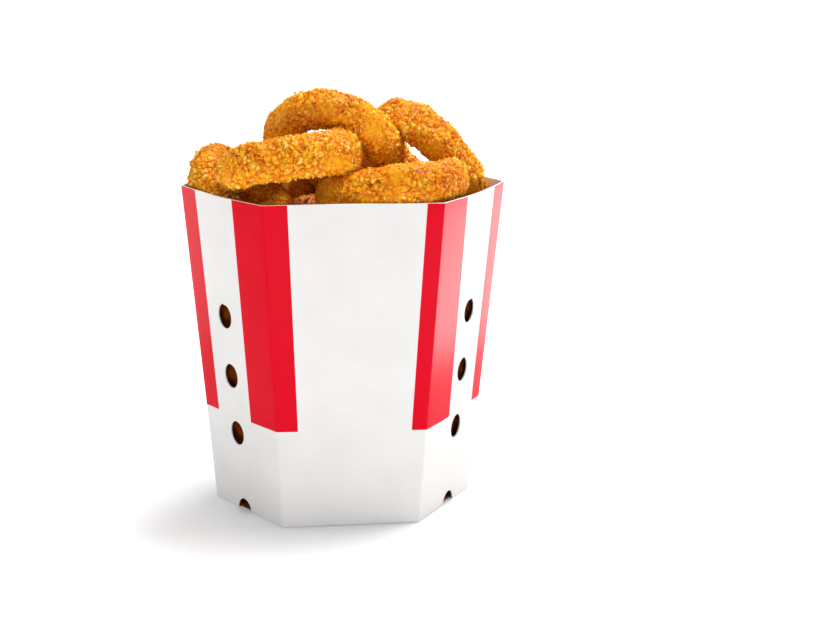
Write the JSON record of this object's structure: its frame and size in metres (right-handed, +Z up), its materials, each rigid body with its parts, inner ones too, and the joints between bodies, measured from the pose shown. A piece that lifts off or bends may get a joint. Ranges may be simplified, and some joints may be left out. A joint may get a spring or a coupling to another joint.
{
  "type": "onion rings side",
  "caption": "Tall six-sided paper carton with striped walls and round vents, heaped over the rim with crumbed onion rings",
  "frame": {"origin": "middle of the carton's floor, on the surface it stands on", "axes": "+Z up; the wide front panel faces -Y; the side corners of the carton point along +X and -X"},
  "size_m": [0.142, 0.0825, 0.1886],
  "materials": {
    "coated_board": "clay-coated white paperboard with printed red stripes, satin",
    "crumb_crust": "golden fried breadcrumb crust, rough with a slight sheen of oil"
  },
  "bodies": {
    "root": {"carton": "coated_board", "ring_top": "crumb_crust", "ring_front_left": "crumb_crust", "ring_front_right": "crumb_crust", "ring_back_right": "crumb_crust", "ring_back_left": "crumb_crust", "ring_back": "crumb_crust", "ring_front_low": "crumb_crust", "rings_below": "crumb_crust"}
  },
  "joints": []
}
